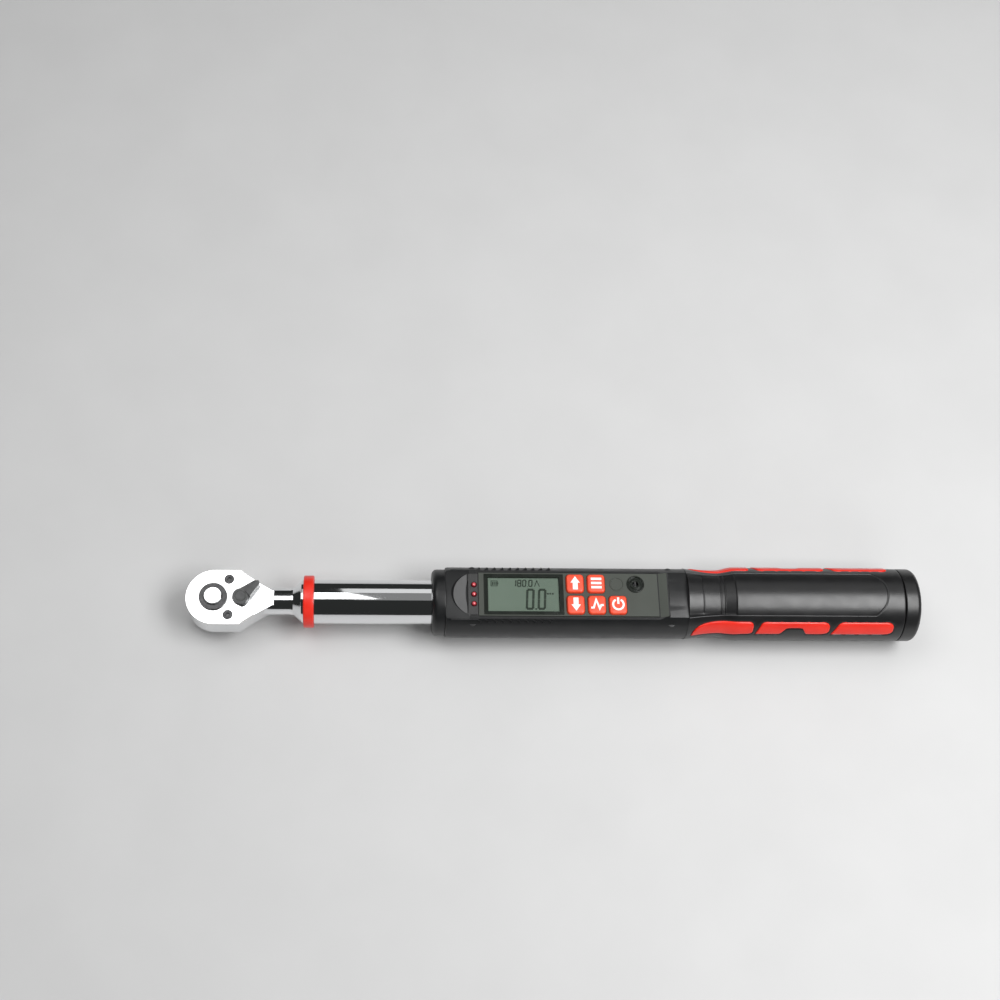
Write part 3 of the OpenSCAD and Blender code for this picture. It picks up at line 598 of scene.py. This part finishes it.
def add_button():
    """The quick-release button: a domed cap with a soft edge on its grooved rod."""
    button = Box("release_button")
    top, foot = button.z1, button.z0
    under = top - 4
    corners = [
        (top, 0, 0), (top, button.r - 0.45, 0.5), (top - 0.6, button.r, 0.5),
        (under, button.r, 0.2), (under, 2.25, 0), (foot + 8.4, 2.25, 0), (foot + 7.2, 1.1, 0),
        (foot + 3.4, 1.1, 0), (foot + 2.2, 2.25, 0), (foot, 2.25, 0.2), (foot, 0, 0),
    ]
    verts, faces = loft(lathe(rounded(corners, closed=False), upright=(0, 0)))
    add_piece("button_skin", verts, faces, "chrome", "release", ["release_button"])


def add_lever_groove_painted_shade():
    """A near-black ring laid between the lever's boss and the shaft in its middle: painted shade for
    the groove there.
    """
    lever, shaft = Box("reverse_lever"), Box("selector_shaft")
    boss_z = lever.z1 - 1
    low, high = boss_z - 0.2, boss_z + 0.05
    inner, outer = shaft.r + 0.1, shaft.r + 0.85
    profile = [(low, inner), (high, inner), (high, outer), (low, outer)]
    verts, faces = loft(lathe(profile, 96, (shaft.cx, shaft.cy)), closed=True)
    # The ring's near-black colour is painted shade in the groove, not a dark part of the lever.
    add_piece("lever_groove_painted_shade", verts, faces, "bezel", "lever")


# ------------------------------------------------------------------ grip

grip = Box("rubber_grip")
core = Box("grip_core")
HOUSING_R = 24.3
WAIST_R = 22.8
WAIST_X = grip.x0 + 21.1
FULL_X = grip.x0 + 35.1
GRIP_R = grip.r
GROOVE_DEEP = 0.45
GROOVE_SOFT = 0.7
END_ROUND = 0.7
# Heights of the grip's spine above the axis, at places along the grip
SPINE = [
    (0, 24.15), (9.5, 23.05), (10.1, 22.85), (10.7, 23.0), (21.0, 22.75), (21.5, 22.75),
    (21.8, 23.1), (22.3, 23.1), (22.6, 22.75), (24.4, 22.85), (24.7, 23.2), (25.2, 23.25),
    (25.5, 22.95), (31.9, 24.35), (32.5, 24.95), (33.2, GRIP_R), (149, GRIP_R),
]
SPINE_A = 37.4
LINE_END = grip.x0 + 128.8
ARC_X = grip.x0 + 136.8


def side_radius(x):
    """The grip's radius beside the spine: a smooth waist behind the housing."""
    front = WAIST_R + (HOUSING_R - WAIST_R) * ((WAIST_X - x) / (WAIST_X - grip.x0)) ** 2
    t = np.clip((x - WAIST_X) / (FULL_X - WAIST_X), 0, 1)
    back = WAIST_R + (GRIP_R - WAIST_R) * (1 - np.cos(math.pi * t)) / 2
    return np.where(x < WAIST_X, front, back)


def grip_radius(x, angle):
    """The grip's radius without its grooves; angle is in degrees from the top."""
    spine = interpolate([(grip.x0 + k[0], k[1]) for k in SPINE], x)
    weight = 1 - smooth_step(SPINE_A - 3.5, SPINE_A + 0.5, np.abs(angle))
    return side_radius(x) * (1 - weight) + spine * weight


# Upper and lower edges of each inlay, as places along the grip and angles from its top
INLAYS = [
    (
        [(3.3, 85), (4.2, 73.5), (5.5, 66), (7.5, 60), (11, 55), (16, 51.5), (21, 50), (28, 48.8),
         (35, 48.2), (41, 48.2), (42.6, 48.9), (43.9, 51), (44.6, 54.5), (44.9, 61)],
        [(3.3, 85), (7, 83.8), (11, 82), (16, 80.6), (21, 80), (25, 79.4), (28, 78), (32, 76),
         (36, 74.4), (41, 73.9), (42.6, 73.2), (43.9, 71), (44.6, 67.5), (44.9, 61)],
    ),
    (
        [(46.8, 74), (47.4, 69), (49.6, 54.5), (50.5, 51), (51.8, 49), (54, 48.2), (92, 48.2),
         (94.2, 48.9), (96, 51), (97.2, 55), (97.6, 61)],
        [(46.8, 74), (63, 73.9), (64.2, 71.5), (67.2, 61.8), (68.8, 60.4), (77, 60.2), (79, 61.6),
         (81.2, 71.5), (82.2, 73.9), (92, 73.9), (94.2, 73.2), (96, 71), (97.2, 67), (97.6, 61)],
    ),
    (
        [(99.2, 74), (100, 69), (103, 54.5), (104.1, 51), (105.6, 49), (108, 48.2), (136, 48.2),
         (138.4, 48.9), (140.3, 51), (141.5, 55), (141.9, 61)],
        [(99.2, 74), (136, 73.9), (138.4, 73.2), (140.3, 71), (141.5, 67), (141.9, 61)],
    ),
]


def edge_angles(span, x):
    """Angles of an inlay's upper and lower edges at x."""
    top, foot = INLAYS[span]
    shifted = [[(grip.x0 + a, b) for a, b in knots] for knots in (top, foot)]
    return interpolate(shifted[0], x), interpolate(shifted[1], x)


def inlay_outline(span):
    """The closed outline of an inlay as (x, distance around the grip) points."""
    top, foot = INLAYS[span]
    loop = top + foot[-2:0:-1]
    dense = []
    for i, (x, a) in enumerate(loop):
        x2, a2 = loop[(i + 1) % len(loop)]
        for s in range(4):
            t = s / 4
            dense.append((grip.x0 + x + (x2 - x) * t, math.radians(a + (a2 - a) * t) * GRIP_R))
    return np.array(dense)


def groove_depth(x, angle):
    """A soft groove that follows each inlay's outline on both sides of the grip."""
    around = np.radians(np.abs(angle)) * GRIP_R
    deep = np.zeros_like(x)
    for span in range(len(INLAYS)):
        loop = inlay_outline(span)
        gap = np.full_like(x, 9.0)
        for a, b in loop:
            gap = np.minimum(gap, np.hypot(x - a, around - b))
        top, foot = edge_angles(span, x)
        inside = (np.abs(angle) > top) & (np.abs(angle) < foot)
        inside &= (x > loop[:, 0].min()) & (x < loop[:, 0].max())
        beside = GROOVE_DEEP * np.exp(-((gap / GROOVE_SOFT) ** 2))
        deep = np.maximum(deep, np.where(inside, GROOVE_DEEP, beside))
    return deep


def spine_arc(angle):
    """Where the curved groove that ends the spine lies along the grip."""
    return ARC_X - 8.3 * (np.abs(angle) / SPINE_A) ** 2.2


def add_grip():
    """The rubber grip: spine, waist, grooves for the inlays and a rounded end."""
    stations = spaced(grip.x0, grip.x1 - END_ROUND, 0.6, dense=[
        (grip.x0 + 9.2, grip.x0 + 11, 0.15), (grip.x0 + 20.8, grip.x0 + 25.8, 0.1),
        (grip.x0 + 31.4, grip.x0 + 33.6, 0.15), (LINE_END - 1, ARC_X + 1, 0.2),
    ]) + [grip.x1 - 0.45, grip.x1 - 0.2, grip.x1 - 0.06, grip.x1]
    angles = spaced(-180, 178.9, 3, dense=[
        (-88, -44, 0.8), (44, 88, 0.8), (-44, 44, 1.5), (-39, -35.6, 0.5), (35.6, 39, 0.5),
    ])
    x, angle = np.meshgrid(np.array(stations), np.array(angles), indexing="ij")
    radius = grip_radius(x, angle)
    radius -= groove_depth(x, angle)
    on_spine = np.abs(angle) < SPINE_A
    radius -= np.where(on_spine, 0.3 * np.exp(-(((x - spine_arc(angle)) / 0.4) ** 2)), 0)
    fall = np.clip((x - (grip.x1 - END_ROUND)) / END_ROUND, 0, 1)
    radius -= END_ROUND * (1 - np.sqrt(1 - fall ** 2))
    y, z = -radius * np.sin(np.radians(angle)), radius * np.cos(np.radians(angle))
    rings = [list(zip(x[i], y[i], z[i])) for i in range(len(stations))]
    for place in (grip.x1, grip.x0):
        rings.append([
            (place, -core.r * math.sin(math.radians(a)), core.r * math.cos(math.radians(a)))
            for a in angles
        ])
    verts, faces = loft(rings, closed=True)
    add_piece("grip_skin", verts, faces, "rubber", "wrench", ["rubber_grip"], 50)


def on_grip(x, angle, lift=0.0):
    """A point on the grip, lifted off its surface."""
    radius = float(grip_radius(np.array(x), np.array(angle))) + lift
    a = math.radians(angle)
    return (x, -radius * math.sin(a), radius * math.cos(a))


def add_inlays():
    """Raised coloured inlays with soft edges, set into the grooves on each side."""
    across = 18
    for side, node, label in ((1, "inlays_right", "near"), (-1, "inlays_left", "far")):
        for span in range(len(INLAYS)):
            loop = inlay_outline(span)
            low, high = loop[:, 0].min(), loop[:, 0].max()
            rings = []
            for x in spaced(low, high, 0.7, dense=[(low, low + 4, 0.2), (high - 3, high, 0.15)]):
                top, foot = edge_angles(span, x)
                width = math.radians(foot - top) * GRIP_R
                outer, inner = [], []
                for v in range(across + 1):
                    t = (1 - math.cos(math.pi * v / across)) / 2
                    edge = min(t, 1 - t) * width
                    edge = min(edge, x - low + 0.001, high - x + 0.001)
                    lift = -0.6 + 1.05 * math.sqrt(min(edge, 1.1) / 1.1)
                    angle = float(top + (foot - top) * t) * side
                    outer.append(on_grip(x, angle, lift))
                    inner.append(on_grip(x, angle, -1.4))
                rings.append(outer + inner[::-1])
            verts, faces = loft(rings)
            name = "inlay_%s_%d" % (label, span + 1)
            add_piece(name, verts, faces, "red", "wrench", [node], 60)


def add_grip_lines():
    """Fine raised lines along both sides of the spine, spreading towards the housing, coloured
    lighter than the grip as a painted highlight on their ridges.
    """
    spread = [(0, 42.6), (10, 41), (21, 39.4), (29, 37.6), (40, SPINE_A), (128.8, SPINE_A)]
    for side, label in ((1, "near"), (-1, "far")):
        path, normals = [], []
        for x in spaced(grip.x0 + 0.2, LINE_END, 0.8):
            angle = float(interpolate(spread, x - grip.x0)) * side
            path.append(on_grip(x, angle))
            normals.append((0, -math.sin(math.radians(angle)), math.cos(math.radians(angle))))
        verts, faces = loft(sweep(path, normals, 0.32, 0.3))
        add_piece("grip_line_" + label, verts, faces, "line", "wrench")


# ------------------------------------------------------------------ keys and their symbols

KEYS = {
    "key_up": "up_key", "key_memory": "memory_key", "key_down": "down_key",
    "key_mode": "mode_key", "key_power": "power_key",
}


def round_rect(cx, cy, length, width, corner, steps=8):
    out = []
    for sx, sy, start in ((1, 1, 0), (-1, 1, 90), (-1, -1, 180), (1, -1, 270)):
        for s in range(steps + 1):
            a = math.radians(start + 90 * s / steps)
            out.append((
                cx + sx * (length / 2 - corner) + corner * math.cos(a),
                cy + sy * (width / 2 - corner) + corner * math.sin(a),
            ))
    return out


def add_key(node, body):
    """A moulded key: drafted sides, a soft shoulder and a slightly crowned top."""
    key = Box(node)
    skirt, shoulder = 0.6, 1.15
    length, width = key.x1 - key.x0 - 2 * skirt, key.y1 - key.y0 - 2 * skirt
    top, ledge = key.z1, key.z0 + 0.85
    # Each layer is an inset from the key's sides and a height
    layers = [(-skirt, key.z0 + 0.35), (-skirt, ledge), (0, ledge), (0.05, top - 2.0)]
    for s in range(7):
        a = math.pi / 2 * s / 6
        inset = 0.25 + shoulder * (1 - math.cos(a))
        layers.append((inset, top - 0.35 - shoulder * (1 - math.sin(a))))
    layers += [(2.2, top - 0.2), (3.4, top - 0.09), (5, top - 0.02)]
    rings = []
    for inset, z in layers:
        corner = max(2.5 - 0.75 * inset, 0.4)
        outline = round_rect(key.cx, key.cy, length - 2 * inset, width - 2 * inset, corner)
        rings.append([(x, y, z) for x, y in outline])
    verts, faces = loft(rings)
    add_piece(node + "_skin", verts, faces, "key", body, [node], 60)


def moved(outline, dx, dy):
    return [(x + dx, y + dy) for x, y in outline]


def bar_shape(x0, y0, x1, y1):
    return [(x0, y0), (x1, y0), (x1, y1), (x0, y1)]


def arrow_shape(up):
    shape = [(-1.7, -4.7), (1.7, -4.7), (1.7, 0.2), (3.2, 0.2), (0, 4.8), (-3.2, 0.2), (-1.7, 0.2)]
    return shape if up else [(-x, -y) for x, y in shape]


def arc_shape(inner, outer, start, end, steps=28):
    turn = [math.radians(start + (end - start) * s / steps) for s in range(steps + 1)]
    out = [(outer * math.cos(a), outer * math.sin(a)) for a in turn]
    return out + [(inner * math.cos(a), inner * math.sin(a)) for a in reversed(turn)]


def trace_shape(points, half):
    """One outline around an open line of points, mitred at its bends."""
    left, right = [], []
    for i, (x, y) in enumerate(points):
        here = Vector((x, y))
        before = (here - Vector(points[max(i - 1, 0)])).normalized()
        after = (Vector(points[min(i + 1, len(points) - 1)]) - here).normalized()
        along = (before + after).normalized()
        across = Vector((-along.y, along.x))
        share = half / max(across.dot(Vector((-after.y, after.x))), 0.4) if after.length else half
        left.append(tuple(here + across * share))
        right.append(tuple(here - across * share))
    return left + right[::-1]


def stroke_shapes(points, half):
    """Straight strokes of one width that overlap at their joints."""
    out = []
    for (x0, y0), (x1, y1) in zip(points, points[1:]):
        along = Vector((x1 - x0, y1 - y0)).normalized()
        nx, ny = -along.y * half, along.x * half
        ex, ey = along.x * half * 0.6, along.y * half * 0.6
        out.append([
            (x0 - ex - nx, y0 - ey - ny), (x1 + ex - nx, y1 + ey - ny),
            (x1 + ex + nx, y1 + ey + ny), (x0 - ex + nx, y0 - ey + ny),
        ])
    return out


def key_symbols():
    """Generic symbols: arrows, stored rows, a peak trace and a power mark."""
    return {
        "key_up": [arrow_shape(True)],
        "key_down": [arrow_shape(False)],
        "key_memory": [bar_shape(-3.6, y - 0.85, 3.6, y + 0.85) for y in (-3, 0, 3)],
        "key_mode": [trace_shape(
            [(-4.3, -2.4), (-2.5, -2.4), (-0.7, 3.3), (1.5, -3), (2.6, -0.6), (4.3, -0.6)], 0.7)],
        "key_power": [arc_shape(2.9, 4.3, 118, 422), bar_shape(-0.75, 0.3, 0.75, 5)],
    }


def add_keys():
    symbols = key_symbols()
    for node, body in KEYS.items():
        add_key(node, body)
        key = Box(node)
        outlines = [moved(shape, key.cx, key.cy) for shape in symbols[node]]
        slab(node + "_mark", outlines, key.z1 - 0.5, key.z1 + 0.04, "legend", body)


# ------------------------------------------------------------------ nose facet and buzzer

FACET_R = 15.2
FACET_LENGTH = 10
FACET_HALF = 13.9
FACET_RISE = 0.4
GAP_R = 39.5
GAP_BOW = 2.5
GAP_WIDTH = 0.9
DECK_DROP = 0.7
BAR_RUN, BAR_RISE = 6.7, 2.5
BAR_HALF = 15.6
BAR_GAP = 0.6


def add_facet_film():
    """The lighter film on the level facet in front of the lights, bowed at its rear edge."""
    strip = Box("led_strip")
    rear = strip.x0 + GAP_WIDTH - GAP_BOW + GAP_R
    centre = strip.x0 - FACET_LENGTH + FACET_R
    half_steps, margin = 20, 0.15
    front, back = [], []
    for step in range(2 * half_steps + 1):
        y = FACET_HALF * (1 - step / half_steps)
        bow = rear - margin - math.sqrt(GAP_R ** 2 - y ** 2)
        front.append((centre - math.sqrt(FACET_R ** 2 - y ** 2), y))
        back.append((min(bow, strip.x0 - GAP_WIDTH), y))
    facet_z = strip.z1 + FACET_RISE
    slab(
        "nose_film", [front + back[::-1]], facet_z - 0.02, facet_z + 0.06,
        "facet", "wrench",
    )


def add_bar_film():
    """The greenish film on the sloped bar behind the faceplate."""
    strip, plate = Box("led_strip"), Box("faceplate")
    foot_x, deck_z = plate.x1 + BAR_GAP, strip.z1 - DECK_DROP
    x0, x1 = foot_x + 0.3, foot_x + BAR_RUN - 0.9
    z0, z1 = [deck_z + (x - foot_x) * BAR_RISE / BAR_RUN for x in (x0, x1)]
    verts = []
    for above in (-0.1, 0.07):
        verts += [(x0, -BAR_HALF, z0 + above), (x1, -BAR_HALF, z1 + above)]
        verts += [(x1, BAR_HALF, z1 + above), (x0, BAR_HALF, z0 + above)]
    faces = [(3, 2, 1, 0), (4, 5, 6, 7), (0, 1, 5, 4), (1, 2, 6, 5), (2, 3, 7, 6), (3, 0, 4, 7)]
    add_piece("bar_film", verts, faces, "panel", "wrench", sharp=30)


def add_buzzer_rib():
    """The narrow rib across the buzzer's sound hole."""
    cap = Box("buzzer_cap")
    half_width, half_length = 0.4, 2
    rib = bar_shape(
        cap.cx - half_width, cap.cy - half_length, cap.cx + half_width, cap.cy + half_length,
    )
    slab("buzzer_rib", [rib], cap.z1 - 1.5, cap.z1 - 0.6, "strip", "wrench")


# ------------------------------------------------------------------ display

SEGMENTS = {"0": "abcdef", "1": "bc", "8": "abcdefg"}


def digit_shapes(value, x, y, width, height, stroke, slant=0.06):
    """Seven-segment strokes of one digit, from its lower left corner."""
    gap = stroke * 0.35
    left, right, low, high, mid = 0, width, 0, height, height / 2
    lines = {
        "a": ((left + gap, high), (right - gap, high)),
        "d": ((left + gap, low), (right - gap, low)),
        "g": ((left + gap, mid), (right - gap, mid)),
        "f": ((left, mid + gap), (left, high - gap)),
        "b": ((right, mid + gap), (right, high - gap)),
        "e": ((left, low + gap), (left, mid - gap)),
        "c": ((right, low + gap), (right, mid - gap)),
    }
    out = []
    for segment in SEGMENTS[value]:
        out += stroke_shapes(lines[segment], stroke / 2)
    return [[(x + u + slant * v, y + v) for u, v in shape] for shape in out]


def add_display():
    """Dark readings on the display: a large 0.0, a small 180.0, and plain marks."""
    window, module = Box("display_window"), Box("display_module")
    x0, y0 = window.x0, window.y0
    shapes = []
    for place in (26.2, 34.2):
        shapes += digit_shapes("0", x0 + place, y0 + 2.2, 4.2, 13.6, 1.6)
    shapes.append(bar_shape(x0 + 31.9, y0 + 1.5, x0 + 33.1, y0 + 2.7))
    for place, value in ((17, "1"), (20.4, "8"), (23.8, "0"), (28, "0")):
        shapes += digit_shapes(value, x0 + place, y0 + 18.2, 2.1, 4.4, 0.85)
    shapes.append(bar_shape(x0 + 26.9, y0 + 17.9, x0 + 27.4, y0 + 18.4))
    # A cell mark at the upper left, a peak mark after the small reading, a row of unit dots
    case = bar_shape(x0 + 2.4, y0 + 18.4, x0 + 6.6, y0 + 22)
    shapes += stroke_shapes(case + case[:1], 0.25)
    for i in range(3):
        cell, dot = x0 + 3 + i * 1.2, x0 + 40.2 + i * 1.7
        shapes.append(bar_shape(cell, y0 + 19.1, cell + 0.8, y0 + 21.3))
        shapes.append(bar_shape(dot, y0 + 12.4, dot + 1.2, y0 + 13.6))
    shapes.append(bar_shape(x0 + 6.9, y0 + 19.6, x0 + 7.4, y0 + 20.8))
    peak = [(x0 + 32, y0 + 18.2), (x0 + 33.6, y0 + 22.4), (x0 + 35.2, y0 + 18.2)]
    shapes += stroke_shapes(peak, 0.3)
    low, high = module.z1 + 0.005, module.z1 + 0.03
    slab("display_reading", shapes, low, high, "ink", "wrench")


# ------------------------------------------------------------------ floor, light and camera


FLOOR_HALF = 6.0


def add_floor():
    """A pale, nearly plain floor at the foot of the CAD's box."""
    half = FLOOR_HALF
    mesh = bpy.data.meshes.new("floor")
    z = cad_box[0].z
    corners = [(-half, -half, z), (half, -half, z), (half, half, z), (-half, half, z)]
    mesh.from_pydata(corners, [], [(0, 1, 2, 3)])
    floor = bpy.data.objects.new("floor", mesh)
    bpy.context.scene.collection.objects.link(floor)
    s = Shader("floor", (0.56, 0.56, 0.56), 0.6)
    s.vary_colour(s.noise(60, 3), (0.55, 0.55, 0.55), (0.57, 0.57, 0.57))
    mesh.materials.append(s.material)


def add_area(name, place, target, size, radiance):
    """An area light whose brightness is set by what it looks like in a mirror."""
    data = bpy.data.lights.new(name, "AREA")
    data.shape = "RECTANGLE"
    data.size, data.size_y = size
    data.energy = radiance * math.pi * size[0] * size[1]
    light = bpy.data.objects.new(name, data)
    light.location = place
    light.rotation_euler = (Vector(target) - Vector(place)).to_track_quat("-Z", "Y").to_euler()
    bpy.context.scene.collection.objects.link(light)
    return light


def overhead(name, x, angle, distance, size, radiance, turn=0.0):
    """A light above the wrench, at an angle from straight up towards +Y, turned about its aim."""
    a = math.radians(angle)
    place = Vector((x, distance * math.sin(a), AXIS_Z + distance * math.cos(a)))
    light = add_area(name, place, (x, 0, AXIS_Z), size, radiance)
    aim = Matrix.Rotation(a, 4, "X").inverted()
    light.rotation_euler = (aim @ Matrix.Rotation(math.radians(turn), 4, "Z")).to_euler()
    return light


def add_world():
    """A dim world, so that the chrome keeps dark stripes between the lights."""
    world = bpy.data.worlds.new("studio")
    world.use_nodes = True
    background = world.node_tree.nodes["Background"]
    background.inputs["Color"].default_value = (0.85, 0.9, 0.88, 1)
    background.inputs["Strength"].default_value = 0.03
    bpy.context.scene.world = world


def add_fill(name, place, target, size, radiance):
    """A broad light that evens out the shadows and leaves no reflection of its own."""
    light = add_area(name, place, target, size, radiance)
    light.visible_glossy = False


def add_lights():
    overhead("head_box", -0.29, 10.5, 1.2, (0.70, 0.72), 3.0, 7)
    overhead("ceiling", 0.40, 8.5, 1.35, (0.75, 0.9), 0.22)
    overhead("back_strip", 0.65, 41, 1.3, (1.3, 0.58), 0.76)
    overhead("handle_box", 0.91, -10, 1.25, (0.72, 0.95), 9.5)
    add_fill("top_fill", (0.15, 0.3, 2.4), (0.15, 0, 0), (2.6, 2.6), 0.62)
    add_fill("front_fill", (0.3, -1.9, 0.9), (0.3, 0, 0), (2.4, 1.2), 1.2)


CAMERA_PLACE = Vector((0.1044, -0.3381, AXIS_Z + 0.9549))
CAMERA_LENS = 53.24
CAMERA_TILT = 23.471
CAMERA_PAN = 3.499
CAMERA_ROLL = 0.583
CAMERA_SHIFT = 0.04


def add_camera():
    data = bpy.data.cameras.new("camera")
    data.lens = CAMERA_LENS
    data.sensor_width = 36.0
    data.shift_x = CAMERA_SHIFT
    camera = bpy.data.objects.new("camera", data)
    camera.location = CAMERA_PLACE
    tilt = Matrix.Rotation(math.radians(CAMERA_TILT), 4, "X")
    pan = Matrix.Rotation(math.radians(-CAMERA_PAN), 4, "Y")
    roll = Matrix.Rotation(math.radians(CAMERA_ROLL), 4, "Z")
    camera.rotation_euler = (tilt @ pan @ roll).to_euler()
    bpy.context.scene.collection.objects.link(camera)
    bpy.context.scene.camera = camera


add_turned()
add_button()
add_grip()
add_inlays()
add_grip_lines()
add_keys()
add_lever_groove_painted_shade()
add_facet_film()
add_bar_film()
add_buzzer_rib()
add_display()
add_floor()
add_world()
add_lights()
add_camera()
bpy.context.scene.view_settings.view_transform = "Standard"
